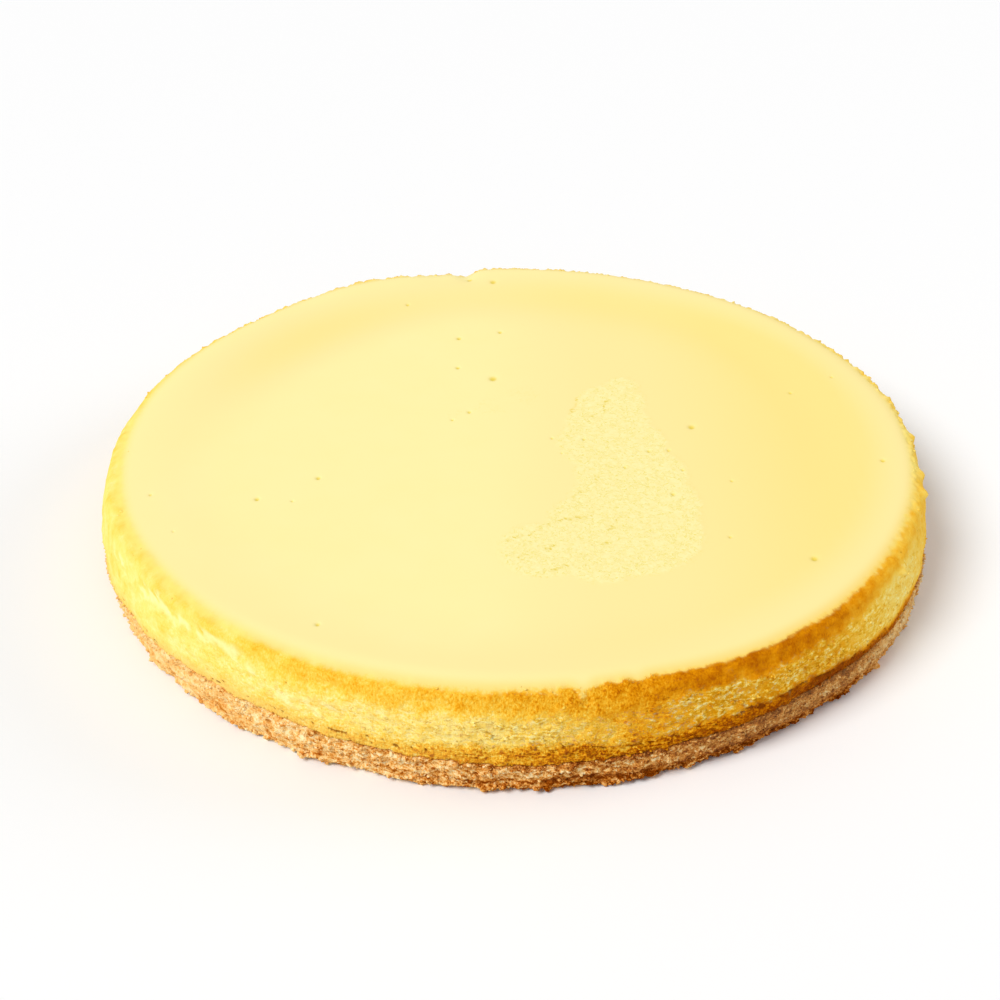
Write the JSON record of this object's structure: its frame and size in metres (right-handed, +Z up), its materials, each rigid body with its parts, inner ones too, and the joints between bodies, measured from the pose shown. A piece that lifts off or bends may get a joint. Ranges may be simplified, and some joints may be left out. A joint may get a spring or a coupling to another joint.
{
  "type": "baked cheesecake",
  "caption": "Whole round baked cheesecake: set cheese filling with a smooth pale top and browned side on a ragged layer of pressed crumb.",
  "frame": {"origin": "middle of the flat underside that the cake stands on", "axes": "+Z up through the cake, -Y towards the side shown at the front, +X to its right"},
  "size_m": [0.2554, 0.2579, 0.0309],
  "materials": {
    "baked_cheese": "smooth satin pale yellow skin on top, dry golden brown side with fine pores",
    "pressed_crumb": "dry rough baked crumb, tan to brown"
  },
  "bodies": {
    "root": {"cheese_filling": "baked_cheese", "crumb_layer": "pressed_crumb"}
  },
  "joints": []
}
